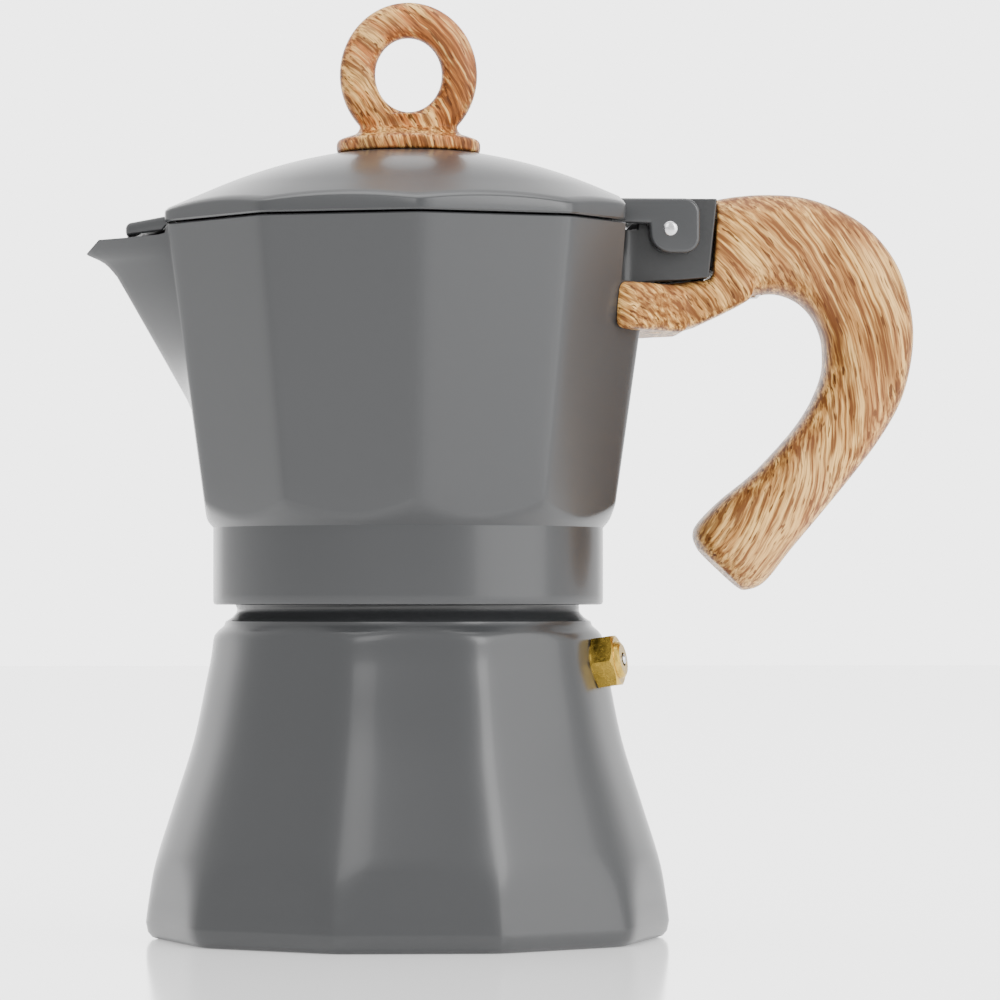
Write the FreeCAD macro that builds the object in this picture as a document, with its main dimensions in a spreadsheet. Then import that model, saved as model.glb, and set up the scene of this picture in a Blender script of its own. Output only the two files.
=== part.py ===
import FreeCAD, Part
import math
import os
import Sketcher

# Moka pot for the stove: a faceted boiler, a coffee funnel, and a faceted jug with a hinged lid,
# a ring knob and a curved handle. Millimetres, +Z up, the origin under the boiler's centre on
# the surface that it stands on. The spout points to -X and the handle to +X.

SIZES = {
    # The jug, the lid and the boiler are regular decagons; radii are taken at their corners.
    # The boiler has a facet that faces -Y, and the jug has a corner there.
    "facet_turn": 36,
    "boiler_turn": 0,
    "jug_turn": 18,
    # Boiler: a bell that narrows from the foot to the shoulder, then a round threaded neck.
    "foot_base_radius": 48.4,
    "foot_radius": 50.1,
    "foot_height": 2.6,
    "bell_low_radius": 48.2,
    "bell_low_height": 14.6,
    "bell_lower_radius": 44.6,
    "bell_lower_height": 26,
    "bell_middle_radius": 41,
    "bell_middle_height": 37.4,
    "bell_upper_radius": 38.6,
    "bell_upper_height": 48.8,
    "shoulder_radius": 37,
    "shoulder_height": 59,
    "boiler_floor": 4,
    "boiler_wall": 3.2,
    "neck_radius": 33,
    "neck_root_radius": 32.3,
    "neck_bore": 28.6,
    "neck_top": 73,
    "thread_pitch": 3,
    # Safety valve, on the middle of a facet, square to the sloping wall.
    "valve_turn": -18,
    "valve_height": 52,
    "valve_reach": 36.3,
    "valve_tilt": 9,
    "valve_hex": 9.3,
    "valve_hex_start": 0.8,
    "valve_hex_end": 4.9,
    "valve_shank": 3.2,
    "valve_seat_radius": 5.2,
    "valve_seat_depth": 0.4,
    "valve_travel": 1,
    # Funnel: a straight basket under a flat flange, and a tube down to the boiler's floor.
    "funnel_radius": 28,
    "funnel_skin": 0.8,
    "funnel_flange": 31.5,
    "basket_floor": 50,
    "cone_floor": 38,
    "tube_radius": 4.5,
    "tube_end": 9,
    "sieve_height": 51.2,
    "sieve_radius": 26.6,
    "plate_skin": 0.8,
    # Seal under the jug, with the filter plate held in its step.
    "gasket_radius": 32.5,
    "gasket_bore": 26.5,
    "gasket_step": 29.6,
    "gasket_bottom": 74,
    "seat_height": 78.5,
    # Jug: a round threaded collar, ten facets that lean outwards, and the riser column.
    "collar_radius": 37,
    "collar_bore": 33.6,
    "collar_bottom": 63.1,
    "collar_top": 78,
    "jug_low_radius": 39.9,
    "jug_low_height": 77,
    "jug_top_radius": 48.2,
    "jug_top": 134.3,
    "jug_wall": 2.6,
    "jug_floor": 81.5,
    "column_base": 8.5,
    "column_tip": 6,
    "column_top": 121,
    "column_bore": 3.2,
    # Bracket for the lid's hinge and the handle, in a recess across the jug's back.
    "recess_low": 38.9,
    "recess_top": 39.6,
    "recess_height": 123.6,
    "recess_wall": 2.3,
    "recess_round": 2.5,
    "pin_reach": 48.7,
    "pin_height": 133.8,
    "pin_radius": 1.45,
    "lug_half": 11,
    "lug_round": 5.9,
    "lug_end_top": 57.9,
    "lug_end_low": 56.3,
    "lug_base_end": 124.8,
    "tongue_half": 4,
    "tongue_end": 70,
    "tongue_low": 127,
    "tongue_top": 136,
    "screw_reach": 64,
    # Lid.
    "lid_radius": 48.5,
    "lid_bottom": 134.7,
    "dome_top": 149.7,
    "dome_reach": 39.2,
    "dome_edge": 140.6,
    "knob_seat": 148.8,
    "lid_end": 39.7,
    "lug_slot": 0.8,
    "ear_half": 14.5,
    "ear_gap": 11.3,
    "ear_top": 139.5,
    "ear_end": 54.3,
    "ear_front": 44.8,
    "ear_low": 129.2,
    # Ring knob.
    "flange_radius": 13.7,
    "ring_height": 163.8,
    "ring_radius": 10.15,
    "ring_round": 3.75,
    # Handle.
    "handle_half": 10.5,
}

doc = FreeCAD.newDocument("MokaPot")
sheet = doc.addObject("Spreadsheet::Sheet", "Sizes")
for row, (alias, number) in enumerate(SIZES.items(), start=1):
    sheet.set("A%d" % row, alias)
    sheet.set("B%d" % row, str(number))
    sheet.setAlias("B%d" % row, alias)
doc.recompute()

PLANES = {"XY": "XY_Plane", "XZ": "XZ_Plane"}
sub_parts = []


def size(name):
    """One cell of the sheet, as a number."""
    return float(sheet.get(name))


def value(expression):
    """An expression of the sheet's cells, worked out to a number."""
    result = sheet.evalExpression(expression.replace("Sizes.", ""))
    return float(getattr(result, "Value", result))


def text(item):
    """A coordinate as an expression: a number stays as it is, a name means its cell."""
    return str(item) if isinstance(item, (int, float)) else item


def new_body(name):
    body = doc.addObject("PartDesign::Body", name.title().replace("_", ""))
    body.Label = name
    sub_parts.append(body)
    return body


def new_sketch(body, name, plane="XY", height=None):
    """A sketch on one of the body's own planes, lifted to a height along its normal."""
    sketch = body.newObject("Sketcher::SketchObject", name)
    role = PLANES[plane]
    origin_plane = [item for item in body.Origin.OriginFeatures if item.Role == role][0]
    sketch.AttachmentSupport = [(origin_plane, "")]
    sketch.MapMode = "FlatFace"
    if height is not None:
        sketch.setExpression("AttachmentOffset.Base.z", text(height))
    return sketch


def draw(sketch, corners):
    """A closed outline through the corners. A corner is a pair of expressions; a triple with
    "arc" makes it the middle of an arc between the corners beside it."""
    points = [FreeCAD.Vector(value(text(c[0])), value(text(c[1])), 0) for c in corners]
    kinds = ["arc" if len(c) == 3 else "end" for c in corners]
    count = len(corners)
    starts = [i for i in range(count) if kinds[i] == "end"]
    edges = []
    for place, i in enumerate(starts):
        j = starts[(place + 1) % len(starts)]
        middle = (i + 1) % count
        if kinds[middle] == "arc":
            sketch.addGeometry(Part.Arc(points[i], points[middle], points[j]), False)
            first = sketch.getPoint(sketch.GeometryCount - 1, 1)
            last = sketch.getPoint(sketch.GeometryCount - 1, 2)
            forward = (first - points[i]).Length < (last - points[i]).Length
            ends = (1, 2) if forward else (2, 1)
        else:
            sketch.addGeometry(Part.LineSegment(points[i], points[j]), False)
            ends = (1, 2)
        edges.append((sketch.GeometryCount - 1, ends))
    for place, i in enumerate(starts):
        here, before = edges[place], edges[place - 1]
        sketch.addConstraint(Sketcher.Constraint("Coincident", before[0], before[1][1], here[0], here[1][0]))
        for direction, item in (("DistanceX", corners[i][0]), ("DistanceY", corners[i][1])):
            rule = Sketcher.Constraint(direction, -1, 1, here[0], here[1][0], value(text(item)))
            number = sketch.addConstraint(rule)
            if not isinstance(item, (int, float)):
                sketch.setExpression("Constraints[%d]" % number, item)
    return sketch


def circle(sketch, across, up, radius):
    """A circle with its centre and its radius given as expressions."""
    centre = FreeCAD.Vector(value(text(across)), value(text(up)), 0)
    ring = sketch.addGeometry(Part.Circle(centre, FreeCAD.Vector(0, 0, 1), value(text(radius))), False)
    rules = (("DistanceX", across), ("DistanceY", up))
    for direction, item in rules:
        number = sketch.addConstraint(Sketcher.Constraint(direction, -1, 1, ring, 3, value(text(item))))
        if not isinstance(item, (int, float)):
            sketch.setExpression("Constraints[%d]" % number, item)
    number = sketch.addConstraint(Sketcher.Constraint("Radius", ring, value(text(radius))))
    if not isinstance(radius, (int, float)):
        sketch.setExpression("Constraints[%d]" % number, radius)
    return sketch


def feature(body, kind, name, sketch, **settings):
    """A PartDesign feature of one sketch. Its volume is compared with the one before it, because
    a cut that points away from the solid removes nothing."""
    before = body.Shape.Volume if body.Tip else 0
    item = body.newObject("PartDesign::" + kind, name)
    item.Profile = sketch
    for key, setting in settings.items():
        if isinstance(setting, str) and key in ("Length", "Length2"):
            item.setExpression(key, setting)
        else:
            setattr(item, key, setting)
    sketch.Visibility = False
    doc.recompute()
    change = body.Shape.Volume - before
    cuts = kind in ("Pocket", "Groove", "SubtractiveLoft")
    if item.State and ("Invalid" in item.State or "Error" in item.State):
        raise RuntimeError("%s failed in %s: %s" % (name, body.Label, item.getStatusString()))
    if abs(change) < 0.01 or (change > 0) == cuts:
        raise RuntimeError("%s changes %s by %.3f" % (name, body.Label, change))
    return item


def turned(body, name, corners, kind="Revolution"):
    """A full turn of an outline of (radius, height) corners about the body's Z axis."""
    sketch = draw(new_sketch(body, name + "Outline", "XZ"), corners)
    return feature(body, kind, name, sketch, ReferenceAxis=(sketch, ["V_Axis"]), Angle=360)


def side_cut(body, name, corners, half):
    """A cut with an outline in the XZ plane, as deep on each side of it as half says."""
    sketch = draw(new_sketch(body, name + "Outline", "XZ"), corners)
    return feature(body, "Pocket", name, sketch, Length=doubled(half), Midplane=True)


def side_pad(body, name, corners, half):
    """A block with an outline in the XZ plane, as thick on each side of it as half says."""
    sketch = draw(new_sketch(body, name + "Outline", "XZ"), corners)
    return feature(body, "Pad", name, sketch, Length=doubled(half), Midplane=True)


def doubled(half):
    return half * 2 if isinstance(half, (int, float)) else "2 * " + half


def drilled(body, name, plane, across, up, radius, length, height=None):
    """A round hole through both sides of a plane."""
    sketch = circle(new_sketch(body, name + "Outline", plane, height), across, up, radius)
    return feature(body, "Pocket", name, sketch, Length=length, Midplane=True)


def cell(name):
    return "Sizes." + name


def decagon(radius, turn):
    """Corners of a regular decagon as expressions of one radius."""
    step = size("facet_turn")
    corners = []
    for index in range(10):
        angle = turn + index * step
        corners.append(("%s * cos(%g deg)" % (radius, angle), "%s * sin(%g deg)" % (radius, angle)))
    return corners


def facet_loft(body, name, rings, turn, kind="AdditiveLoft", ruled=False):
    """A loft through decagons, each given as its corner radius and its height."""
    sketches = []
    for index, (radius, height) in enumerate(rings):
        sketch = new_sketch(body, "%sRing%d" % (name, index + 1), "XY", height)
        sketches.append(draw(sketch, decagon(radius, turn)))
    return feature(body, kind, name, sketches[0], Sections=sketches[1:], Ruled=ruled)


def jug_radius(height):
    """The jug's corner radius at a height, along its straight leaning wall."""
    low, top = size("jug_low_height"), size("jug_top")
    share = (height - low) / (top - low)
    return size("jug_low_radius") + share * (size("jug_top_radius") - size("jug_low_radius"))


BOILER_TURN = size("boiler_turn")
JUG_TURN = size("jug_turn")


def make_boiler():
    body = new_body("boiler")
    rings = (("foot", "foot_height"), ("bell_low", "bell_low_height"), ("bell_lower", "bell_lower_height"),
             ("bell_middle", "bell_middle_height"), ("bell_upper", "bell_upper_height"),
             ("shoulder", "shoulder_height"))
    bell = [(cell(name + "_radius"), cell(height)) for name, height in rings]
    facet_loft(body, "Foot", [(cell("foot_base_radius"), 0), bell[0]], BOILER_TURN, ruled=True)
    facet_loft(body, "Bell", bell, BOILER_TURN)
    top = cell("shoulder_height")
    turned(body, "Shoulder", [(34.2, top + " + 1"), (42, top + " + 1"), (42, top + " - 5"),
                              (34.2, top)], "Groove")
    turned(body, "Neck", [(20, top + " - 1"), (cell("neck_radius"), top + " - 1"),
                          (cell("neck_radius"), cell("neck_top")), (20, cell("neck_top"))])
    inner = [(0, cell("boiler_floor"))]
    wall = "0.951 * Sizes.%s - Sizes.boiler_wall"
    for name, height in rings[:-1]:
        low = cell("boiler_floor") if name == "foot" else cell(height)
        inner.append((wall % (name + "_radius"), low))
    inner.append((wall % "shoulder_radius", top + " - 3"))
    inner.append((cell("neck_bore"), top + " + 1"))
    inner.append((cell("neck_bore"), cell("neck_top") + " + 1"))
    inner.append((0, cell("neck_top") + " + 1"))
    turned(body, "Water", inner, "Groove")
    for index in range(3):
        low = cell("neck_top") + " - 2 - %d * Sizes.thread_pitch" % index
        root = cell("neck_root_radius")
        turned(body, "ThreadGroove%d" % (index + 1),
               [(root, low + " - 1"), (34, low + " - 1.6"), (34, low), (root, low + " - 0.6")], "Groove")
    return body


def valve_frame():
    """Where the valve's own axis starts on the boiler's wall, and how it points."""
    turn = math.radians(size("valve_turn"))
    reach = size("valve_reach")
    start = FreeCAD.Vector(reach * math.cos(turn), reach * math.sin(turn), size("valve_height"))
    about_z = FreeCAD.Rotation(FreeCAD.Vector(0, 0, 1), size("valve_turn"))
    tilt = FreeCAD.Rotation(FreeCAD.Vector(0, 1, 0), 90 - size("valve_tilt"))
    return FreeCAD.Placement(start, about_z.multiply(tilt))


def drill_boiler(boiler):
    """The valve's threaded hole and the flat spot that its washer sits on."""
    place = valve_frame()
    tools = []
    for name, radius, low in (("ValveHole", "valve_shank", -8),
                              ("ValveSpot", "valve_seat_radius", -size("valve_seat_depth"))):
        tool = doc.addObject("Part::Cylinder", name)
        tool.setExpression("Radius", cell(radius))
        tool.Height = 8 - low
        tool.Placement = place.multiply(FreeCAD.Placement(FreeCAD.Vector(0, 0, low), FreeCAD.Rotation()))
        tools.append(tool)
    both = doc.addObject("Part::Fuse", "ValveTool")
    both.Base, both.Tool = tools
    cut = doc.addObject("Part::Cut", "BoilerDrilled")
    cut.Base, cut.Tool = boiler, both
    boiler.Label = "boiler_casting"
    cut.Label = "boiler"
    sub_parts[sub_parts.index(boiler)] = cut
    doc.recompute()


def make_valve():
    """Valve pieces on a shared axis: local Z runs outwards from the boiler's wall."""
    place = valve_frame()
    start, end = cell("valve_hex_start"), cell("valve_hex_end")
    washer = new_body("valve_washer")
    turned(washer, "Ring", [(3.3, -0.4), (4.5, -0.4), (4.5, start), (3.3, start)])
    hexagon = new_body("valve_body")
    across = "Sizes.valve_hex / 1.7320508"
    corners = []
    for index in range(6):
        angle = 60 * index + 30
        corners.append(("%s * cos(%d deg)" % (across, angle), "%s * sin(%d deg)" % (across, angle)))
    sketch = draw(new_sketch(hexagon, "HexOutline", "XY", start), corners)
    feature(hexagon, "Pad", "Hex", sketch, Length="Sizes.valve_hex_end - Sizes.valve_hex_start")
    turned(hexagon, "HexCorners", [(4.4, end), (6, end + " - 0.9"), (6, end + " + 0.5"),
                                   (4.4, end + " + 0.5")], "Groove")
    shank = cell("valve_shank") + " - 0.05"
    turned(hexagon, "Shank", [(0, -5), (shank, -5), (shank, start), (0, start)])
    turned(hexagon, "Chamber", [(0, -6), (1.2, -6), (1.2, -1), (2.4, -1), (2.4, end + " + 0.1"),
                                (0, end + " + 0.1")], "Groove")
    cap = new_body("valve_retainer")
    turned(cap, "Crimp", [(1.3, end), (3.6, end), (3.4, end + " + 0.6"), (2.9, end + " + 0.9"),
                          (1.3, end + " + 0.9")])
    plunger = new_body("valve_plunger")
    turned(plunger, "Stem", [(0, -0.95), (2.1, -0.95), (2.1, 0), (0.9, 0), (0.9, 5.9), (0.6, 6.2), (0, 6.2)])
    spring = new_body("valve_spring")
    first = cell("valve_travel") + " + 0.2"
    turned(spring, "Coils", [(1.25, first), (2.1, first), (2.1, 4.8), (1.25, 4.8)])
    for body in (washer, hexagon, cap, plunger, spring):
        body.Placement = place


def make_funnel():
    body = new_body("funnel")
    outer, skin = cell("funnel_radius"), cell("funnel_skin")
    floor, cone, tube, end = cell("basket_floor"), cell("cone_floor"), cell("tube_radius"), cell("tube_end")
    top = cell("neck_top")
    turned(body, "Skin", [(tube, end), (tube, cone), (outer + " - 2", floor + " - 1"),
                          (outer, floor + " + 1"), (outer, top), (cell("funnel_flange"), top),
                          (cell("funnel_flange"), top + " + 0.9"),
                          (outer + " - " + skin, top + " + 0.9"), (outer + " - " + skin, floor + " + 1.2"),
                          (outer + " - 3", floor + " + 0.4"), (tube + " - " + skin, cone + " + 0.6"),
                          (tube + " - " + skin, end)])
    return body


def perforated(name, height, radius, rings, hole, crown):
    """A thin disc with rings of small round holes, and a flat rim outside them."""
    body = new_body(name)
    sketch = circle(new_sketch(body, "Sheet", "XY", height), 0, 0, radius)
    for ring in range(rings):
        reach = (ring + 0.5) * crown / rings
        count = max(4, int(2 * math.pi * reach / (hole * 3.4)))
        for index in range(count):
            angle = 2 * math.pi * (index + 0.5 * (ring % 2)) / count
            centre = FreeCAD.Vector(reach * math.cos(angle), reach * math.sin(angle), 0)
            sketch.addGeometry(Part.Circle(centre, FreeCAD.Vector(0, 0, 1), hole), False)
    feature(body, "Pad", "Disc", sketch, Length=cell("plate_skin"))
    return body


def make_gasket():
    body = new_body("gasket")
    low, seat = cell("gasket_bottom"), cell("seat_height")
    turned(body, "Seal", [(cell("gasket_bore"), low), (cell("gasket_radius"), low),
                          (cell("gasket_radius"), seat), (cell("gasket_step"), seat),
                          (cell("gasket_step"), seat + " - 1"), (cell("gasket_bore"), seat + " - 1")])
    return body


def jug_corner(height):
    """The jug's corner beside +X at a height, as how far out and how far to the side it is."""
    turn = math.radians(size("facet_turn") / 2)
    return jug_radius(height) * math.cos(turn), jug_radius(height) * math.sin(turn)


def spout_ring(apex, height, inset):
    """A triangle across the jug's -X face at a height: the spout's two sides meet at the apex."""
    out, side = jug_corner(height)
    face = 1 + 5 * (inset > 0) - out
    return [(apex + 1.3 * inset, 0), (face, inset - side), (face, side - inset)]


def hinge_ring(height, inner, outer):
    """A trapezium between two distances along +X, its slanted ends inside the facets' walls."""
    out, side = jug_corner(height)
    slope = math.tan(math.radians(90 - size("facet_turn")))
    near = side + (out - inner) * slope - 0.4
    far = side + (out - outer) * slope - 0.4
    return [(inner, -near), (outer, -far), (outer, far), (inner, near)]


def hinge_loft(body, name, rings):
    """A block between two trapeziums that follow the facets' lean."""
    sketches = []
    for index, (height, inner, outer) in enumerate(rings):
        sketch = new_sketch(body, "%sRing%d" % (name, index + 1), "XY", height)
        sketches.append(draw(sketch, hinge_ring(height, inner, outer)))
    return feature(body, "AdditiveLoft", name, sketches[0], Sections=sketches[1:], Ruled=True)


def make_jug():
    body = new_body("jug")
    low, top = cell("jug_low_height"), cell("jug_top")
    facet_loft(body, "Facets", [(cell("jug_low_radius"), low), (cell("jug_top_radius"), top)],
               JUG_TURN, ruled=True)
    collar = cell("collar_radius")
    turned(body, "LowerBevel", [(collar, low + " - 1"), (collar, cell("collar_top")),
                                (43, cell("collar_top") + " + 7"), (45, low + " - 1")], "Groove")
    floor, recess_low, recess_top = size("recess_height"), size("recess_low"), size("recess_top")
    side_cut(body, "HingeRecess", [(recess_low, floor), (60, floor), (60, size("jug_top")),
                                   (recess_top, size("jug_top"))], 40)
    bore, seat = cell("collar_bore"), cell("seat_height")
    turned(body, "Collar", [(bore, cell("collar_bottom")), (collar, cell("collar_bottom")),
                            (collar, seat + " + 1"), (bore, seat + " + 1")])
    turned(body, "Seat", [(0, cell("collar_bottom")), (bore, cell("collar_bottom")), (bore, seat), (0, seat)],
           "Groove")
    beak = ((-40.8, 100), (-53.7, 121.8), (-57.5, 127.4), (-61.3, 129.2), (-61.3, 134.3))
    for name, inset, kind in (("Spout", 0, "AdditiveLoft"), ("Channel", 2, "SubtractiveLoft")):
        if inset:
            base = jug_radius(size("jug_floor")) - size("jug_wall")
            rim = size("jug_top_radius") - size("jug_wall")
            facet_loft(body, "Coffee", [(base, cell("jug_floor")), (rim + 0.2, top + " + 1")],
                       JUG_TURN, "SubtractiveLoft", True)
        rings = beak if not inset else ((-42.5, 104), (-53.7, 121.8), (-56.5, 127.4), (-59.4, 136))
        sketches = []
        for index, (apex, height) in enumerate(rings):
            sketch = new_sketch(body, "%sRing%d" % (name, index + 1), "XY", height)
            sketches.append(draw(sketch, spout_ring(apex, height, inset)))
        feature(body, kind, name, sketches[0], Sections=sketches[1:], Ruled=True)
    side_cut(body, "SpoutLip", [(-61.4, 129.2), (-58.6, 132.2), (-53.1, 132.6), (-46.2, 133.1), (-46.2, 140),
                                (-70, 140), (-70, 129.2)], 20)
    column, bore, foot = cell("column_top"), cell("column_bore"), cell("column_base")
    turned(body, "Column", [(0, seat), (foot, seat), (foot, cell("jug_floor") + " + 2"),
                            (cell("column_tip"), column + " - 1"), (cell("column_tip") + " - 1", column),
                            (0, column)])
    turned(body, "ColumnBore", [(0, seat + " - 1"), (7, seat + " - 1"), (6, seat + " + 2"), (bore, 92),
                                (bore, column + " - 2"), (0, column + " - 2")], "Groove")
    side_cut(body, "ColumnOutlet", [(-9, column + " - 6.5"), (9, column + " - 6.5"), (9, column + " - 2"),
                                    (-9, column + " - 2")], 2)
    wall = size("recess_wall")
    inner, below = recess_low - wall, floor - size("jug_wall")
    hinge_loft(body, "RecessFloor", [(below, inner, jug_corner(below)[0] - 0.4),
                                     (floor, inner, jug_corner(floor)[0] - 0.4)])
    hinge_loft(body, "RecessWall", [(floor, inner, recess_low),
                                    (size("jug_top"), recess_top - wall, recess_top)])
    reach, height, lug = cell("pin_reach"), cell("pin_height"), cell("lug_round")
    side_pad(body, "Lug", [(38.5, floor), (44.4, floor), (cell("lug_end_low"), cell("lug_base_end")),
                           (cell("lug_end_top"), height + " + " + lug), (reach, height + " + " + lug),
                           (reach + " - 0.7071 * " + lug, height + " + 0.7071 * " + lug, "arc"),
                           (reach + " - " + lug, height), (38.5, height)], cell("lug_half"))
    half, turn, face = size("lug_half"), size("recess_round"), recess_top - 0.2
    middle = turn * (1 - math.sqrt(0.5))
    root = draw(new_sketch(body, "LugRootOutline", "XY", floor), [
        (38, -half - turn), (face, -half - turn), (face + middle, -half - middle, "arc"),
        (face + turn, -half), (face + turn, half), (face + middle, half + middle, "arc"),
        (face, half + turn), (38, half + turn)])
    feature(body, "Pad", "LugRoot", root, Length=height + " - %g" % floor)
    side_pad(body, "Tongue", [(55, cell("tongue_low")), (cell("tongue_end"), cell("tongue_low")),
                              (cell("tongue_end"), cell("tongue_top")), (55, cell("tongue_top"))],
             cell("tongue_half"))
    drilled(body, "PinHole", "XZ", reach, height, cell("pin_radius") + " + 0.02", 40)
    drilled(body, "ScrewHole", "XY", cell("screw_reach"), 0, 1.55, 30, cell("tongue_low"))
    return body


def make_hinge_pin():
    body = new_body("hinge_pin")
    sketch = new_sketch(body, "PinOutline", "XZ")
    circle(sketch, cell("pin_reach"), cell("pin_height"), cell("pin_radius"))
    feature(body, "Pad", "Pin", sketch, Length="2 * Sizes.ear_half + 0.8", Midplane=True)
    return body


def make_lid():
    body = new_body("lid")
    bottom, edge, reach = cell("lid_bottom"), cell("dome_edge"), cell("dome_reach")
    sketch = draw(new_sketch(body, "RimOutline", "XY", bottom), decagon(cell("lid_radius"), JUG_TURN))
    feature(body, "Pad", "Blank", sketch, Length=16)
    turned(body, "Dome", [(0, cell("dome_top")), (1, cell("dome_top")), (20, 147.35, "arc"), (reach, edge),
                          (50, 136.2), (50, 152), (0, 152)], "Groove")
    turned(body, "Hollow", [(0, bottom + " - 1"), (44.2, bottom + " - 1"), (44.2, 136.1), (reach, 138.4),
                            (20, 145, "arc"), (1, 147), (0, 147)], "Groove")
    turned(body, "KnobSeat", [(0, cell("knob_seat")), (13, cell("knob_seat")), (13, 151), (0, 151)], "Groove")
    side_cut(body, "HingeEnd", [(cell("lid_end"), 130), (52, 130), (52, 152), (cell("lid_end"), 152)], 60)
    side_pad(body, "HingeRib", [(37.4, bottom), (cell("lid_end"), bottom), (cell("lid_end"), 138.25),
                                (37.4, 139.2)], 20)
    front, end, low, ears = cell("ear_front"), cell("ear_end"), cell("ear_low"), cell("ear_top")
    side_pad(body, "Ears", [
        (38, bottom), (front, bottom), (front, low + " + 3.9"), (front + " + 1.1", low + " + 1.1", "arc"),
        (front + " + 3.9", low), (end + " - 2.9", low), (end + " - 0.85", low + " + 0.85", "arc"),
        (end, low + " + 2.9"), (end, ears + " - 2.8"), (end + " - 0.8", ears + " - 0.8", "arc"),
        (end + " - 2.8", ears), (38, ears)], cell("ear_half"))
    slot = cell("pin_reach") + " - Sizes.lug_round - Sizes.lug_slot"
    side_cut(body, "LugSlot", [(slot, 125), (60, 125), (60, 142), (slot, 142)], cell("ear_gap"))
    drilled(body, "PinHole", "XZ", cell("pin_reach"), cell("pin_height"), cell("pin_radius") + " + 0.05", 40)
    plan = [(-44.5, -13.6), (-44.5, 13.6), (-53.4, 6.6), (-53.4, -6.6)]
    sketch = draw(new_sketch(body, "SpoutCoverOutline", "XY", 133.5), plan)
    feature(body, "Pad", "SpoutCover", sketch, Length=4.2)
    side_cut(body, "SpoutCoverStep", [(-46.4, 133), (-40, 133), (-40, bottom), (-46.4, bottom)], 20)
    side_cut(body, "SpoutCoverTop", [(-54, 135.2), (-46.6, 137), (-46.6, 139), (-54, 139)], 20)
    drilled(body, "ScrewHole", "XY", 0, 0, 2.3, 10, cell("knob_seat"))
    return body


def make_knob():
    body = new_body("knob")
    seat = cell("knob_seat")
    turned(body, "Flange", [(0, seat), (cell("flange_radius"), seat), (cell("flange_radius"), seat + " + 2"),
                            (13, seat + " + 2.8"), (9.6, seat + " + 3.7"), (8.6, seat + " + 5"),
                            (7.4, seat + " + 6.6"), (0, seat + " + 6.6")])
    ring = body.newObject("PartDesign::AdditiveTorus", "Ring")
    upright = [item for item in body.Origin.OriginFeatures if item.Role == "XZ_Plane"][0]
    ring.AttachmentSupport = [(upright, "")]
    ring.MapMode = "FlatFace"
    ring.setExpression("AttachmentOffset.Base.y", cell("ring_height"))
    ring.setExpression("Radius1", cell("ring_radius"))
    ring.setExpression("Radius2", cell("ring_round"))
    doc.recompute()
    turned(body, "InsertHole", [(0, seat + " - 1"), (3.25, seat + " - 1"), (3.25, seat + " + 5"),
                                (0, seat + " + 5")], "Groove")
    insert = new_body("knob_insert")
    turned(insert, "Bush", [(2, seat), (3.2, seat), (3.2, seat + " + 4.8"), (2, seat + " + 4.8")])
    washer = new_body("knob_washer")
    turned(washer, "Ring", [(2.2, 146.0), (4.6, 146.0), (4.6, 146.8), (2.2, 146.8)])
    screw = new_body("knob_screw")
    turned(screw, "Screw", [(0, 143.9), (2, 144), (3.4, 144.9), (3.6, 145.9), (1.9, 145.9),
                            (1.9, seat + " + 4.6"), (0, seat + " + 4.6")])
    slot = draw(new_sketch(screw, "SlotOutline", "XY", 143.9), [(-5, -0.5), (5, -0.5), (5, 0.5), (-5, 0.5)])
    feature(screw, "Pocket", "Slot", slot, Length=0.9, Reversed=True)


def make_handle():
    """The grip's side outline: a seat against the bracket, an arch over the hand, a drooping
    tail, and a short arm back to the jug's face."""
    body = new_body("handle")
    side_pad(body, "Grip", [
        (58.3, 140.1), (61, 140.7), (68.3, 141.2), (83, 137.8, "arc"), (94.4, 125.2),
        (96.3, 112.5, "arc"), (91.5, 97.8), (84.5, 87.5, "arc"), (75.1, 76.4), (69.4, 69),
        (63.9, 65.7, "arc"), (58.9, 69), (56, 72.8), (54.2, 76.5, "arc"), (57, 80.8),
        (69, 91.4, "arc"), (77, 102.3), (79, 111.6, "arc"), (75.7, 119.7), (69.4, 122.3, "arc"),
        (60.7, 119.1), (51.4, 115, "arc"), (43.4, 113.9), (39.7, 116.8, "arc"), (40.3, 123.3),
        (45.2, 123.4), (56.4, 124.6)], cell("handle_half"))
    saddle = draw(new_sketch(body, "SaddleOutline", "XY", 114.2), [
        (37.6, -20), (38.6, -22.7), (45, -18.6, "arc"), (52, -10.4), (52, 10.4), (45, 18.6, "arc"),
        (38.6, 22.7), (37.6, 20)])
    feature(body, "Pad", "Saddle", saddle, Length=9.3)
    facet_loft(body, "JugFace", [(jug_radius(110) + 0.1, 110), (jug_radius(128) + 0.1, 128)], JUG_TURN,
               "SubtractiveLoft", True)
    low, top, end = "Sizes.tongue_low - 0.1", "Sizes.tongue_top + 0.1", "Sizes.tongue_end + 0.3"
    side_cut(body, "TongueSlot", [(50, low), (end, low), (end, top), (50, top)],
             "(Sizes.tongue_half + 0.1)")
    drilled(body, "ScrewHole", "XY", cell("screw_reach"), 0, 1.8, 12, 124)
    drilled(body, "HeadHole", "XY", cell("screw_reach"), 0, 3.6, 10, 119.1)
    reach = size("screw_reach")
    washer = new_body("handle_washer")
    turned(washer, "Ring", [(1.75, 123.4), (3.4, 123.4), (3.4, 124.1), (1.75, 124.1)])
    screw = new_body("handle_screw")
    turned(screw, "Screw", [(0, 121.5), (2.6, 121.5), (3.2, 122.2), (3.2, 123.4), (1.5, 123.4),
                            (1.5, 135), (0, 135)])
    slot = new_sketch(screw, "SlotOutline", "XY", 121.5)
    draw(slot, [(-5, -0.45), (5, -0.45), (5, 0.45), (-5, 0.45)])
    feature(screw, "Pocket", "Slot", slot, Length=0.9, Reversed=True)
    for body in (washer, screw):
        body.Placement = FreeCAD.Placement(FreeCAD.Vector(reach, 0, 0), FreeCAD.Rotation())


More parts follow.
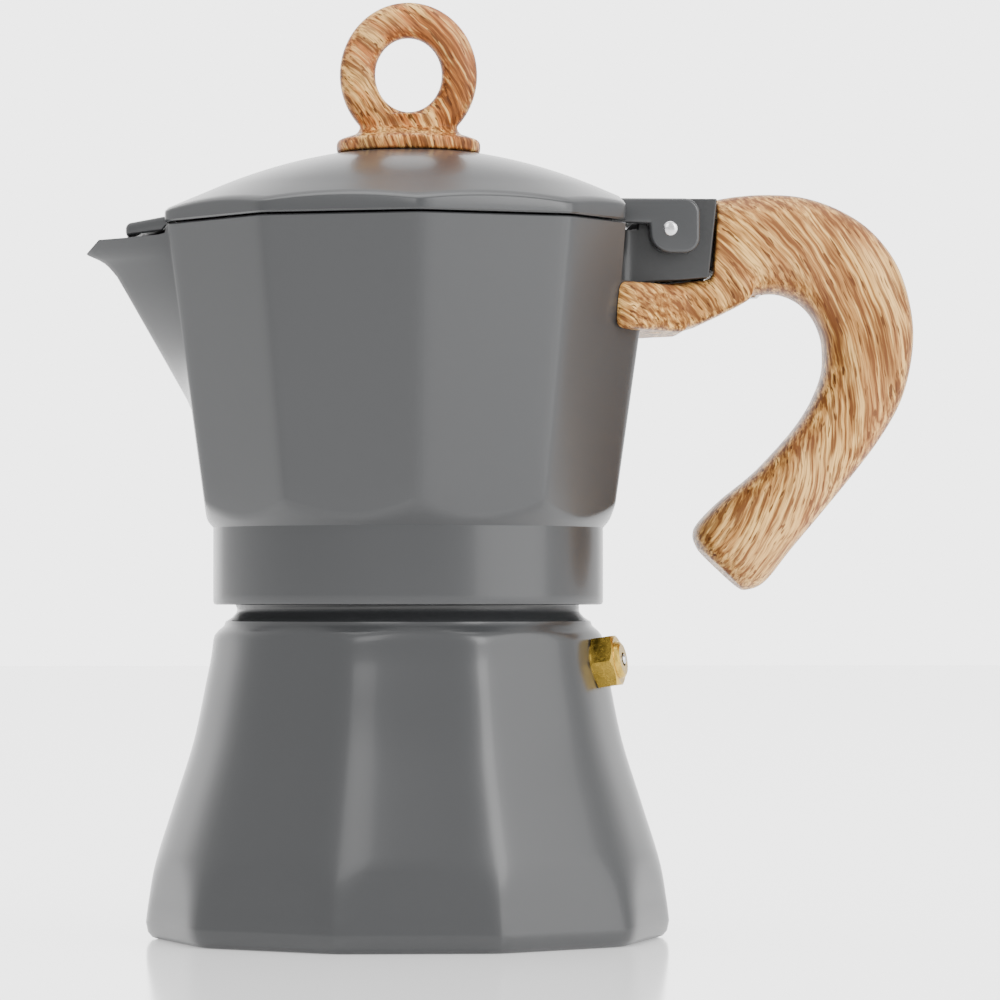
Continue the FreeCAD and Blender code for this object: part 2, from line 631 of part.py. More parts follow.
drill_boiler(make_boiler())
make_valve()
make_funnel()
perforated("funnel_sieve", cell("sieve_height"), cell("sieve_radius"), 6, 0.7, 24.5)
make_gasket()
perforated("filter_plate", "Sizes.seat_height - 0.9", "Sizes.gasket_step - 0.3", 6, 0.7, 25)
make_jug()
make_hinge_pin()
make_lid()
make_knob()
make_handle()
doc.recompute()

for item in doc.Objects:
    if "Invalid" in item.State or "Error" in item.State:
        raise RuntimeError("%s failed" % item.Name)
os.makedirs("parts", exist_ok=True)
for part in sub_parts:
    shape = part.Shape
    if shape.isNull() or not shape.isValid() or not shape.Solids:
        raise RuntimeError("%s has no valid solid" % part.Label)
    shape.exportStep("parts/%s.step" % part.Label)
    print("%-16s %d solid, %.1f mm3" % (part.Label, len(shape.Solids), shape.Volume))
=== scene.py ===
"""Finished surfaces of a stovetop moka pot, built around its fixed CAD frame."""
import math

import bmesh
import bpy
import numpy as np
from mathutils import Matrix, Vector


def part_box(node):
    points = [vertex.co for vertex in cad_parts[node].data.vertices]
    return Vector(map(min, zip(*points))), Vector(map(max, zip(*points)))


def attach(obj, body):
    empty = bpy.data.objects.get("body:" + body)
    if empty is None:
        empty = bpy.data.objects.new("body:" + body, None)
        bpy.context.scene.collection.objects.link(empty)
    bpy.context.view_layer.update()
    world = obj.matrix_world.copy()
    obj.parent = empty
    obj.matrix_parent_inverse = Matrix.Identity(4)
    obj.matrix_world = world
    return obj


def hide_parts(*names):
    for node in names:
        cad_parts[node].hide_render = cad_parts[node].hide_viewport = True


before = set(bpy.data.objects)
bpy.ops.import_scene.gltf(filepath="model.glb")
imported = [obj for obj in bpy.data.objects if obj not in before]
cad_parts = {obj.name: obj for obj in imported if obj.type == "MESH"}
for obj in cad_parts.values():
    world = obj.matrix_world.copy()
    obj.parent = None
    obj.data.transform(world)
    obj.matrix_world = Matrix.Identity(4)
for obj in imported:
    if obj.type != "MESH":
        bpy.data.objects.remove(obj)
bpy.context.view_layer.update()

bl_info = {
    "name": "Moka Pot Finisher",
    "version": (1, 0, 0),
    "blender": (4, 5, 0),
    "location": "View3D > Sidebar > Moka Pot",
    "description": "Makes the castings, the wood-look grips and the finishes of a stovetop moka pot",
    "category": "Object",
}

MM = 0.001
TURN = 2 * math.pi
FACET = math.radians(36)
STEPS_PER_FACET = 20
PIN = (48.7, 133.8)


def reach(node, axis, high=True):
    """One side of a CAD node's box, in millimetres."""
    return float(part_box(node)[1 if high else 0][axis]) / MM


# -------- settings

def length(name, text, default):
    """A length setting, from a default in millimetres."""
    return bpy.props.FloatProperty(name=name, description=text, default=default * MM,
                                   unit="LENGTH", precision=5)


def softness(name, text, default, least):
    return bpy.props.FloatProperty(name=name, description=text, default=default, min=least, max=400)


def colour(name, text, default):
    return bpy.props.FloatVectorProperty(name=name, description=text, default=default,
                                         subtype="COLOR", size=3)


class MOKA_PG_castings(bpy.types.PropertyGroup):
    """Sizes of the boiler, the jug and the lid."""
    neck_radius: length("Neck radius", "Crest of the boiler's thread", 33)
    thread_pitch: length("Thread pitch", "Rise of the thread in one turn", 3)
    thread_depth: length("Thread depth", "Crest to root of the thread", 0.6)
    collar_radius: length("Collar radius", "Outside of the jug's round collar", 37)
    jug_wall: length("Jug wall", "Thickness of the jug's facets", 2.4)
    edge_softness: softness("Edge softness", "Power of the soft polygon", 130, 20)
    bell_softness: softness("Bell softness", "Power of the bell's soft polygon", 24, 12)


class MOKA_PG_grips(bpy.types.PropertyGroup):
    """Sizes of the handle and the knob."""
    handle_half: length("Handle half width", "Half of the grip's width across the hand", 10.4)
    voxel: length("Skin size", "Voxel that joins the grip's parts", 0.42)
    ring_depth: length("Ring half depth", "Half of the ring's thickness along the hinge pin", 3.7)


class MOKA_PG_plates(bpy.types.PropertyGroup):
    """Sizes of the two perforated plates."""
    hole_radius: length("Hole radius", "Radius of one perforation", 0.45)
    hole_step: length("Hole step", "Distance between perforations", 2.6)


class MOKA_PG_colours(bpy.types.PropertyGroup):
    """Base colours of the finishes."""
    enamel: colour("Enamel", "Grey coating of the castings", (0.034, 0.0353, 0.037))
    wood_light: colour("Light wood", "Lightest streaks of the printed grain", (0.88, 0.54, 0.18))
    wood_mid: colour("Mid wood", "Ground colour of the printed grain", (0.46, 0.225, 0.065))
    wood_dark: colour("Dark wood", "Pores and dark streaks", (0.085, 0.028, 0.008))
    knob_tint: colour("Knob tint", "Ground colour of the knob's redder grain", (0.46, 0.165, 0.042))
    brass: colour("Brass", "Safety valve", (0.66, 0.43, 0.075))
    steel: colour("Steel", "Pin and screws", (0.72, 0.72, 0.73))
    aluminium: colour("Bare aluminium", "Uncoated insides and spun parts", (0.62, 0.62, 0.63))
    silicone: colour("Silicone", "Seal ring", (0.80, 0.78, 0.72))


def castings():
    return bpy.context.scene.moka_castings


def grips():
    return bpy.context.scene.moka_grips


def plates():
    return bpy.context.scene.moka_plates


def colours():
    return bpy.context.scene.moka_colours


# -------- shader maths

def add_node(tree, kind, settings=None, inputs=None):
    """A node whose inputs are values, sockets or wires."""
    made = tree.nodes.new(kind)
    for key, setting in (settings or {}).items():
        setattr(made, key, setting)
    for key, source in (inputs or {}).items():
        plug(tree, made.inputs[key], source)
    return made


def plug(tree, socket, source):
    source = getattr(source, "socket", source)
    if isinstance(source, bpy.types.NodeSocket):
        tree.links.new(source, socket)
    elif socket.type == "RGBA":
        socket.default_value = (*source[:3], 1)
    else:
        socket.default_value = source


class Wire:
    """A socket that takes Python's operators; each one adds a Math node."""

    def __init__(self, recipe, socket):
        self.recipe = recipe
        self.socket = socket

    def _math(self, operation, first, second):
        return self.recipe.node("ShaderNodeMath", {"operation": operation}, {0: first, 1: second})

    def __add__(self, other):
        return self._math("ADD", self, other)

    def __sub__(self, other):
        return self._math("SUBTRACT", self, other)

    def __mul__(self, other):
        return self._math("MULTIPLY", self, other)

    def __pow__(self, other):
        return self._math("POWER", self, other)


class Recipe:
    """A material's node tree, with one method that makes any node."""

    def __init__(self, name):
        self.material = bpy.data.materials.new(name)
        self.material.use_nodes = True
        self.tree = self.material.node_tree
        self.shader = self.tree.nodes["Principled BSDF"]

    def node(self, kind, settings=None, inputs=None, output=0):
        return Wire(self, add_node(self.tree, kind, settings, inputs).outputs[output])

    def place(self):
        return self.node("ShaderNodeTexCoord", output="Object")

    def split(self, vector):
        parts = add_node(self.tree, "ShaderNodeSeparateXYZ", {}, {0: vector})
        return [Wire(self, parts.outputs[index]) for index in range(3)]

    def join(self, x, y, z):
        return self.node("ShaderNodeCombineXYZ", {}, {0: x, 1: y, 2: z})

    def noise(self, vector, scale, detail, rough):
        return self.node("ShaderNodeTexNoise", {}, {"Vector": vector, "Scale": scale, "Detail": detail,
                                                    "Roughness": rough})

    def ramp(self, factor, stops):
        """Colours at places between 0 and 1."""
        shade = self.node("ShaderNodeValToRGB", {}, {0: factor})
        elements = shade.socket.node.color_ramp.elements
        while len(elements) < len(stops):
            elements.new(0.5)
        for element, (place, tone) in zip(elements, stops):
            element.position = place
            element.color = (*tone, 1)
        return shade

    def scaled(self, source, low, high, new_low=0.0, new_high=1.0):
        return self.node("ShaderNodeMapRange", {"clamp": True},
                         {0: source, 1: low, 2: high, 3: new_low, 4: new_high})

    def blend(self, factor, first, second):
        return self.node("ShaderNodeMix", {"data_type": "RGBA"}, {0: factor, 6: first, 7: second}, 2)

    def bump(self, height, strength, distance):
        return self.node("ShaderNodeBump", {}, {"Height": height, "Strength": strength, "Distance": distance})

    def feed(self, **sources):
        for key, source in sources.items():
            plug(self.tree, self.shader.inputs[key.replace("_", " ")], source)
        return self.material


def tint(base, factor):
    """A colour made darker or lighter."""
    return tuple(min(1.0, channel * factor) for channel in base)


# -------- materials

def enamel_finish():
    """Glossy grey coating: a faint cloudy tone, an even gloss and a light orange peel."""
    recipe = Recipe("grey_enamel")
    base = colours().enamel
    place = recipe.place()
    cloud = recipe.noise(place, 26, 2, 0.5)
    shade = recipe.ramp(cloud, [(0, tint(base, 0.96)), (1, tint(base, 1.04))])
    peel = recipe.noise(place, 420, 2, 0.5)
    rough = recipe.scaled(recipe.noise(place, 60, 1, 0.4), 0.0, 1.0, 0.285, 0.33)
    return recipe.feed(Base_Color=shade, Roughness=rough, Coat_Weight=0.2, Coat_Roughness=0.12,
                       Normal=recipe.bump(peel, 0.015, 0.0002))


def speckled_finish(name, base, scale, tones, rough, relief, **more):
    """One fine speckle that sets the colour between two tones, the roughness and the relief."""
    recipe = Recipe(name)
    speckle = recipe.noise(recipe.place(), scale, 3, 0.6)
    shade = recipe.ramp(speckle, [(0.3, tint(base, tones[0])), (0.7, tint(base, tones[1]))])
    return recipe.feed(Base_Color=shade, Roughness=recipe.scaled(speckle, 0.3, 0.7, *rough),
                       Normal=recipe.bump(speckle, *relief), **more)


ROSY = (0.50, 0.20, 0.11)


def wood_finish(name, centre, ground, redness):
    """Printed grain whose streaks run in arcs round a centre in the XZ plane."""
    recipe = Recipe(name)
    shades = colours()
    light, dark = tuple(shades.wood_light), tuple(shades.wood_dark)
    x, y, z = recipe.split(recipe.place())
    across, up = x - centre[0] * MM, z - centre[1] * MM
    radius = (across ** 2 + up ** 2) ** 0.5
    turn = recipe.node("ShaderNodeMath", {"operation": "ARCTAN2"}, {0: up, 1: across})
    along = turn * 0.045
    wobble = (recipe.noise(recipe.join(x, y * 0.6, z), 85, 2, 0.5) - 0.5) * 0.0022
    line = radius + wobble
    depth = y * 0.35

    def grain(stretch, scale, detail, roughness=0.6):
        """Streaks along the arcs, longer where the stretch is smaller."""
        return recipe.noise(recipe.join(line, along * stretch, depth), scale, detail, roughness)

    broad, fine, hair = grain(0.13, 210, 3), grain(0.06, 1350, 3), grain(0.05, 2700, 2)
    patch = recipe.noise(recipe.join(x, y, z), 45, 2, 0.5)
    wood = recipe.ramp(recipe.scaled(broad * 0.6 + patch * 0.4, 0.40, 0.62), [
        (0.0, tint(ground, 0.82)), (0.45, tint(ground, 1.15)), (1.0, light)])
    wood = recipe.blend(recipe.scaled(fine, 0.54, 0.64) * 0.75, wood, tint(light, 1.15))
    wood = recipe.blend(recipe.scaled(fine, 0.51, 0.41) * 0.85, wood, tint(dark, 1.6))
    wood = recipe.blend(recipe.scaled(hair, 0.50, 0.40) * 0.6, wood, tint(dark, 1.6))
    pores = recipe.scaled(grain(0.16, 2100, 1, 0.4), 0.64, 0.69)
    spotted = recipe.blend(pores * 0.9, wood, dark)
    flush = recipe.scaled(grain(0.4, 60, 2, 0.5), 0.48, 0.66)
    rosy = recipe.blend(flush * redness, spotted, ROSY)
    rough = recipe.scaled(fine, 0.3, 0.7, 0.42, 0.30)
    return recipe.feed(Base_Color=rosy, Roughness=rough, Specular_IOR_Level=0.12,
                       Normal=recipe.bump(fine * 0.7 + pores * -0.5, 0.16, 0.0002))


def brass_finish():
    """Brass with darker stains and an uneven gloss."""
    recipe = Recipe("valve_brass")
    base = colours().brass
    place = recipe.place()
    stain = recipe.noise(place, 380, 4, 0.6)
    shade = recipe.ramp(stain, [(0.3, tint(base, 0.72)), (0.6, base), (0.8, tint(base, 1.15))])
    rough = recipe.scaled(recipe.noise(place, 900, 3, 0.6), 0.3, 0.7, 0.16, 0.34)
    return recipe.feed(Base_Color=shade, Metallic=1.0, Roughness=rough,
                       Normal=recipe.bump(stain, 0.12, 0.0002))


def spun_finish(name="spun_aluminium", dullness=0.0):
    """Bare aluminium with fine circular lines, or the duller inside of a casting."""
    recipe = Recipe(name)
    base = tint(colours().aluminium, 1 - 0.25 * dullness)
    x, y, z = recipe.split(recipe.place())
    radius = (x ** 2 + y ** 2) ** 0.5
    lines = recipe.noise(recipe.join(radius, z, 0.0), 3200, 2, 0.5)
    cloud = recipe.noise(recipe.place(), 55, 4, 0.6)
    shade = recipe.ramp(lines * 0.45 + cloud * 0.55, [(0.3, tint(base, 0.8)), (0.7, tint(base, 1.12))])
    rough = recipe.scaled(cloud, 0.3, 0.7, 0.30 + 0.15 * dullness, 0.42 + 0.18 * dullness)
    return recipe.feed(Base_Color=shade, Metallic=1.0, Roughness=rough,
                       Normal=recipe.bump(lines, 0.15, 0.0001))


FINISHES = {}


def finish_of(name):
    """Each finish is made once, when a piece first asks for it."""
    shades = colours()
    makers = {
        "enamel": enamel_finish,
        # The bracket finish is the grey enamel made darker. It is painted shade for the shadow round the
        # hinge under the lid's ears, on a part that is grey enamel like the jug. The boiler's neck band also
        # takes it, as a painted shadow under the collar.
        "bracket": lambda: speckled_finish(
            "painted_shade_enamel", tint(shades.enamel, 0.34), 900, (0.9, 1.12), (0.36, 0.46), (0.12, 0.0002),
            Coat_Weight=0.25, Coat_Roughness=0.2),
        "handle_wood": lambda: wood_finish("handle_wood", (28, 97), shades.wood_mid, 0.2),
        "knob_wood": lambda: wood_finish("knob_wood", (-32, 140), shades.knob_tint, 0.5),
        "brass": brass_finish,
        "steel": lambda: speckled_finish(
            "bright_steel", shades.steel, 1500, (0.85, 1.1), (0.16, 0.28), (0.08, 0.0001), Metallic=1.0),
        "spun": spun_finish,
        "inside": lambda: spun_finish("cast_inside", 1.0),
        "silicone": lambda: speckled_finish(
            "silicone_seal", shades.silicone, 700, (0.92, 1.0), (0.5, 0.62), (0.1, 0.0001)),
    }
    if name not in FINISHES:
        FINISHES[name] = makers[name]()
    return FINISHES[name]


# -------- meshes

def in_scene(name, content):
    """A new object in the scene, from a mesh, a light or a camera."""
    made = bpy.data.objects.new(name, content)
    bpy.context.scene.collection.objects.link(made)
    return made


def new_piece(name, vertices, faces, *finishes):
    """A mesh object in metres from points in millimetres."""
    mesh = bpy.data.meshes.new(name)
    mesh.from_pydata([tuple(float(c) * MM for c in point) for point in vertices], [], faces)
    mesh.validate()
    for finish in finishes:
        mesh.materials.append(finish_of(finish))
    return in_scene(name, mesh)


def smooth(piece, angle=38):
    """Smooth faces with sharp edges where two faces turn more than the angle."""
    mesh = piece.data
    mesh.shade_smooth()
    mesh.set_sharp_from_angle(angle=math.radians(angle))
    return piece


def face_outwards(piece):
    """Joins doubled points and turns every face away from the inside."""
    work = bmesh.new()
    work.from_mesh(piece.data)
    bmesh.ops.remove_doubles(work, verts=work.verts, dist=1e-7)
    bmesh.ops.recalc_face_normals(work, faces=work.faces)
    if work.calc_volume(signed=True) < 0:
        bmesh.ops.reverse_faces(work, faces=work.faces)
    work.to_mesh(piece.data)
    work.free()
    return piece


def bake(piece):
    """The piece's modifiers become part of its mesh."""
    graph = bpy.context.evaluated_depsgraph_get()
    mesh = bpy.data.meshes.new_from_object(piece.evaluated_get(graph))
    piece.modifiers.clear()
    old, piece.data = piece.data, mesh
    bpy.data.meshes.remove(old)
    mesh.name = piece.name
    return piece


def combine(name, pieces):
    """Several pieces as one object, each with its own faces and materials."""
    work = bmesh.new()
    slots = []
    for piece in pieces:
        own = list(piece.data.materials)
        slots += [material for material in own if material not in slots]
        before = len(work.faces)
        work.from_mesh(piece.data)
        work.faces.ensure_lookup_table()
        for face in work.faces[before:]:
            face.material_index = slots.index(own[face.material_index])
    mesh = bpy.data.meshes.new(name)
    work.to_mesh(mesh)
    work.free()
    for piece in pieces:
        bpy.data.objects.remove(piece)
    for material in slots:
        mesh.materials.append(material)
    return in_scene(name, mesh)


def boolean(piece, other, operation="DIFFERENCE"):
    """The exact difference or union of two closed pieces; the second one is used up."""
    modifier = piece.modifiers.new("Join", "BOOLEAN")
    modifier.operation = operation
    modifier.solver = "EXACT"
    modifier.object = other
    bake(piece)
    bpy.data.objects.remove(other)
    return piece


def skin(name, rings, *finishes, loop=False):
    """A surface over rings with equal numbers of points. Without loop, a ring of one point
    closes each end."""
    vertices, faces, starts = [], [], []
    for ring in rings:
        starts.append(len(vertices))
        vertices.extend(ring)
    pairs = list(zip(range(len(rings)), range(1, len(rings))))
    if loop:
        pairs.append((len(rings) - 1, 0))
    for low, high in pairs:
        a, b = starts[low], starts[high]
        n, m = len(rings[low]), len(rings[high])
        count = max(n, m)
        for i in range(count):
            j = (i + 1) % count
            if n == 1:
                faces.append((a, b + j, b + i))
            elif m == 1:
                faces.append((a + i, a + j, b))
            else:
                faces.append((a + i, a + j, b + j, b + i))
    return face_outwards(new_piece(name, vertices, faces, *finishes))


def capped(name, rings, *finishes):
    """A surface over rings, closed at each end by the middle of the last ring."""
    start, end = ([tuple(np.mean(np.array(ring), axis=0))] for ring in (rings[0], rings[-1]))
    return skin(name, [start] + rings + [end], *finishes)


def even_angles(count):
    return np.linspace(0, TURN, count + 1)[:-1]


def spaced_angles(corners):
    """Angles round the pot from one corner to the next, closer together near the corners."""
    corners = sorted(corner % 360 for corner in corners)
    angles = []
    for start, end in zip(corners, corners[1:] + [corners[0] + 360]):
        count = max(8, round(STEPS_PER_FACET * (end - start) / 36))
        angles += [start + (end - start) * (1 - math.cos(math.pi * k / count)) / 2 for k in range(count)]
    return np.radians(angles)


def facet_corners(turn):
    return [turn + 36 * index for index in range(10)]


# The power sums are taken on lengths divided by this one, so that they stay in range.
MEAN_RADIUS = 40


def soft_polygon(angles, normals, distances, power):
    """Radius of a polygon whose corners are slightly rounded, from its sides' directions and
    distances. A higher power is sharper."""
    total = np.zeros_like(angles)
    for normal, distance in zip(normals, distances):
        facing = np.maximum(np.cos(angles - normal), 1e-4) / distance
        total += (facing * MEAN_RADIUS) ** power
    return MEAN_RADIUS * total ** (-1 / power)


def soft_least(first, second, power):
    """The smaller of two radii, with a soft corner where they cross."""
    least = np.minimum(first, second)
    return least * ((first / least) ** -power + (second / least) ** -power) ** (-1 / power)


def decagon(angles, corner, turn, power):
    """Radius of a regular decagon with one side's middle at the turn."""
    normals = [turn + index * FACET for index in range(10)]
    return soft_polygon(angles, normals, [corner * math.cos(FACET / 2)] * 10, power)


def ring_at(angles, radius, height):
    """One ring round the pot's axis, whose radius and height may differ round it."""
    radius = np.broadcast_to(radius, angles.shape)
    height = np.broadcast_to(height, angles.shape)
    return list(zip(radius * np.cos(angles), radius * np.sin(angles), height))


def rings_at(angles, profile):
    """Rings from pairs of radius and height."""
    return [ring_at(angles, radius, height) for radius, height in profile]


def thread_ridge(angles, height):
    """How far the thread stands out round the pot at a height, from 0 to 1."""
    pitch = castings().thread_pitch / MM
    phase = (height / pitch - angles / TURN) % 1
    return np.clip(1.6 - 4.2 * np.abs(phase - 0.5), 0, 1)


def mirrored(points):
    """Half of an outline and its mirror image across the XZ plane."""
    return list(points) + [(x, -y) for x, y in points[::-1]]


def curve_through(points, steps):
    """A smooth curve through a few points, as a Catmull-Rom spline."""
    points = np.array(points, float)
    ends = np.vstack([2 * points[0] - points[1], points, 2 * points[-1] - points[-2]])
    out = []
    for index in range(len(points) - 1):
        p0, p1, p2, p3 = ends[index:index + 4]
        for step in range(steps):
            t = step / steps
            out.append(0.5 * (2 * p1 + (p2 - p0) * t + (2 * p0 - 5 * p1 + 4 * p2 - p3) * t ** 2
                              + (3 * p1 - p0 - 3 * p2 + p3) * t ** 3))
    out.append(points[-1])
    return np.array(out)


def slab(name, outline, half, bevel, *finishes, axis="Y", segments=4):
    """A plate with an outline in the XZ plane (or XY, with axis Z), thick to both sides, with
    rounded edges."""
    count = len(outline)
    near, far = half if isinstance(half, tuple) else (-half, half)
    if axis == "Y":
        vertices = [(x, near, z) for x, z in outline] + [(x, far, z) for x, z in outline]
    else:
        vertices = [(x, y, near) for x, y in outline] + [(x, y, far) for x, y in outline]
    faces = [tuple(range(count)), tuple(range(2 * count - 1, count - 1, -1))]
    faces += [(i, i + count, (i + 1) % count + count, (i + 1) % count) for i in range(count)]
    piece = face_outwards(new_piece(name, vertices, faces, *finishes))
    if bevel == 0:
        return piece
    modifier = piece.modifiers.new("Edges", "BEVEL")
    modifier.width = bevel * MM
    modifier.segments = segments
    modifier.limit_method = "ANGLE"
    modifier.angle_limit = math.radians(50)
    return smooth(bake(piece))


def arc_points(centre, radius, start, end, steps):
    """Points on an arc in the plane of an outline, angles in degrees."""
    return [(centre[0] + radius * math.cos(angle), centre[1] + radius * math.sin(angle))
            for angle in np.radians(np.linspace(start, end, steps))]


def replace(piece, body, slot, *nodes):
    """Fixes a piece to its body, in the place of CAD nodes."""
    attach(piece, body)
    if nodes:
        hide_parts(*nodes)
    return piece


# -------- boiler

# Pairs of radius and height, in millimetres, up the outside and down the inside.
FOOT = ((1, 0.8), (40, 0.8), (41, 0.05), (47.6, 0.0), (48.9, 0.35), (49.7, 1.3))
BELL = ((50.1, 3.2), (49.6, 7), (48.2, 14.6), (44.6, 26), (41.0, 37.4), (38.6, 48.8), (37.6, 54), (37.0, 60))
NECK_ROOT = ((34.2, 60.2), (33.3, 60.8), (32.6, 61.6))
BORE = 28.6
INSIDE = ((BORE, 60), (BORE + 0.6, 58.6), (32, 56.5), (33.2, 52), (36.6, 41), (40.6, 28), (44, 15), (45, 9),
          (43.5, 5.6), (40, 4.2), (20, 4))
FOOT_POWER = 75
SOFTENING = (3, 16)
SHOULDER, SHOULDER_TOP, SHOULDER_SLOPE = 34.6, 59.4, 1.25
THREAD_START, THREAD_STEP = 62.2, 0.3


def boiler_rings(angles):
    shape = castings()

    def bell(radius, height):
        """Crisp corners at the foot and soft ones above it, all as far out."""
        power = float(np.interp(height, SOFTENING, (FOOT_POWER, shape.bell_softness)))
        return decagon(angles, radius * 2 ** (1 / power - 1 / FOOT_POWER), FACET / 2, power)

    rings = [ring_at(angles, bell(radius, height), height) for radius, height in FOOT]
    for radius, height in curve_through(BELL, 7):
        shoulder = SHOULDER + max(0.0, SHOULDER_TOP - height) * SHOULDER_SLOPE
        rings.append(ring_at(angles, soft_least(bell(radius, height), shoulder, 90), height))
    rings += rings_at(angles, NECK_ROOT)
    depth, top = shape.thread_depth / MM, reach("boiler", 2)
    root, end = shape.neck_radius / MM - depth, top - 0.8
    for height in np.arange(THREAD_START, end, THREAD_STEP):
        fade = max(0, min(1, (height - THREAD_START) / 1.5, (end - height) / 1.2 + 0.15))
        rings.append(ring_at(angles, root + depth * thread_ridge(angles, height) * fade, height))
    rim = ((root, top - 0.6), (root - 0.5, top), (BORE + 0.5, top), (BORE, top - 0.5))
    return rings + rings_at(angles, rim + INSIDE)


class MOKA_OT_boiler(bpy.types.Operator):
    """Cast boiler with its soft facets, threaded neck and bare inside"""
    bl_idname = "moka.boiler"
    bl_label = "Boiler"

    def execute(self, context):
        rings = boiler_rings(spaced_angles(facet_corners(0)))
        piece = capped("boiler_bell", rings, "enamel", "inside", "bracket")
        for face in piece.data.polygons:
            x, y, z = face.center / MM
            around = math.hypot(x, y)
            inward = face.normal.xy.dot(Vector((x, y))) < 0
            inside = z > 3.9 and (around < 32.2 or around < 32.9 and inward)
            # The neck's band under the jug's collar takes the darker bracket enamel, a painted shadow for the
            # deep gap there.
            neck = 2 if z > 62 and around > 32.2 else 0
            face.material_index = 1 if inside or z > 64.5 else neck
        replace(smooth(piece, 42), "boiler_body", "grey_enamel", "boiler")
        return {"FINISHED"}


# -------- jug

JUG_FLARE = ((39.9, 77), (48.2, 134.3))
RIM = JUG_FLARE[1][1]
PROW = ((-40.6, 99), (-53.7, 121.8), (-55.8, 125.4), (-57.7, 127.5), (-59.6, 128.6), (-61.3, 129.25),
        (-66.9, 134.4))
PROW_POWER = 90
PROW_INSET = 1.38
CONE_RADIUS, CONE_START, CONE_SLOPE = 37.0, 77.7, 0.86
LIP = ((-61.3, 129.25), (-58.6, 131.95), (-53.1, 132.1), (-47.2, 132.35), (-46.1, 132.6), (-45.5, 134.4))
RECESS = ((38.9, 123.6), (39.6, 134.3))
COLLAR_FOOT = ((34.2, 63.1), (36.3, 63.1), (36.8, 63.25), (36.98, 63.7))
WALL_START = 98
OUTSIDE = (98, 100, 102, 104, 107, 110, 113, 116, 119, 121, 122.5, 124, 125.2, 126.2, 127, 127.7, 128.3,
           129.2, 130.5, 132, RIM - 0.25)
INSIDE_WALL = (RIM - 0.25, 132, 130, 128.5, 127.5, 125.5, 122, 118, 114, 110, 106, 102, 98, 93, 88, 85)
COLLAR_ROOF = ((12, 81.3), (6.4, 81.3), (6.4, 78.5), (33.2, 78.5), (33.75, 78.0))
COLLAR_BORE = 34.0


def jug_corner(height):
    (low, z_low), (high, z_high) = JUG_FLARE
    return low + (high - low) * (height - z_low) / (z_high - z_low)


def prow_reach(height):
    """How far out the spout's front edge stands at a height."""
    x, z = zip(*PROW)
    return -np.interp(height, z, x)


def jug_radius(angles, height, inset=0.0):
    """The jug's faceted wall with the spout's two sides across the -X facet, at heights that
    may differ round the ring."""
    height = np.broadcast_to(height, angles.shape)
    power = castings().edge_softness
    corner = jug_corner(height) - inset
    radius = decagon(angles, 1.0, 0.0, power) * corner
    off = angles % TURN - math.pi
    inside = np.abs(off) < FACET / 2
    off = np.where(inside, off, 0)
    root = corner * float(decagon(np.array([FACET / 2]), 1.0, 0.0, power)[0])
    apex = prow_reach(height) - inset * PROW_INSET
    root_x, root_y = root * math.cos(FACET / 2), root * math.sin(FACET / 2)
    normal = np.arctan2(apex - root_x, root_y)
    distance = apex * np.cos(normal)
    first, second = (np.maximum(np.cos(off + turn) / distance, 1e-4) for turn in (-normal, normal))
    wedge = (first ** PROW_POWER + second ** PROW_POWER) ** (-1 / PROW_POWER)
    return np.where(inside & (apex > root_x), np.maximum(radius, wedge), radius)


def shoulder_rings(angles):
    """The cone over the collar and its rounded, scalloped edge with the facets."""
    unit = decagon(angles, 1.0, 0.0, castings().edge_softness)
    (low, z_low), (high, z_high) = JUG_FLARE
    lean = (high - low) / (z_high - z_low)
    crossing = ((unit * (low - z_low * lean) - CONE_RADIUS + CONE_START * CONE_SLOPE)
                / (CONE_SLOPE - unit * lean))
    first, last = CONE_START + (crossing - CONE_START) * 0.55, crossing + 1.1

    def on_cone(height):
        return CONE_RADIUS + (height - CONE_START) * CONE_SLOPE

    rings = []
    for share in (0.05, 0.5):
        height = CONE_START + (first - CONE_START) * share
        rings.append(ring_at(angles, on_cone(height), height))
    for t in np.linspace(0, 1, 6):
        a, b, c = (1 - t) ** 2, 2 * t * (1 - t), t ** 2
        radius = a * on_cone(first) + b * on_cone(crossing) + c * unit * jug_corner(last)
        rings.append(ring_at(angles, radius, a * first + b * crossing + c * last))
    for share in (0.25, 0.5, 0.75):
        height = last + (WALL_START - last) * share
        rings.append(ring_at(angles, unit * jug_corner(height), height))
    return rings


def jug_rings(angles):
    shape = castings()
    collar, wall = shape.collar_radius / MM, shape.jug_wall / MM
    rings = rings_at(angles, COLLAR_FOOT + tuple((collar, height) for height in (65, 71, 77, CONE_START)))
    rings += shoulder_rings(angles)
    rings += [ring_at(angles, jug_radius(angles, height), height) for height in OUTSIDE]
    rings.append(ring_at(angles, jug_radius(angles, RIM) - 0.25, RIM))
    rings.append(ring_at(angles, jug_radius(angles, RIM, wall) + 0.25, RIM))
    rings += [ring_at(angles, jug_radius(angles, height, wall), height) for height in INSIDE_WALL]
    floor = decagon(angles, jug_corner(83) - wall, 0.0, shape.edge_softness)
    for inset, height in ((0.5, 83.2), (1.6, 82.1), (3.6, 81.5)):
        rings.append(ring_at(angles, floor - inset, height))
    rings += rings_at(angles, COLLAR_ROOF)
    for height in np.arange(77.4, 64.4, -THREAD_STEP):
        rings.append(ring_at(angles, COLLAR_BORE - 0.4 * thread_ridge(angles, height), height))
    rings.append(ring_at(angles, COLLAR_BORE, 63.5))
    return rings


def hinge_block(name, sections):
    """A block between two trapeziums whose slanted ends lie inside the facets' walls."""
    rings = []
    for height, inner, outer in sections:
        out, side = jug_corner(height) * math.cos(FACET / 2), jug_corner(height) * math.sin(FACET / 2)
        near, far = (side + (out - x) / math.tan(FACET) - 0.4 for x in (inner, outer))
        plan = ((inner, -near), (outer, -far), (outer, far), (inner, near))
        rings.append([(x, y, height) for x, y in plan])
    return capped(name, rings, "enamel")


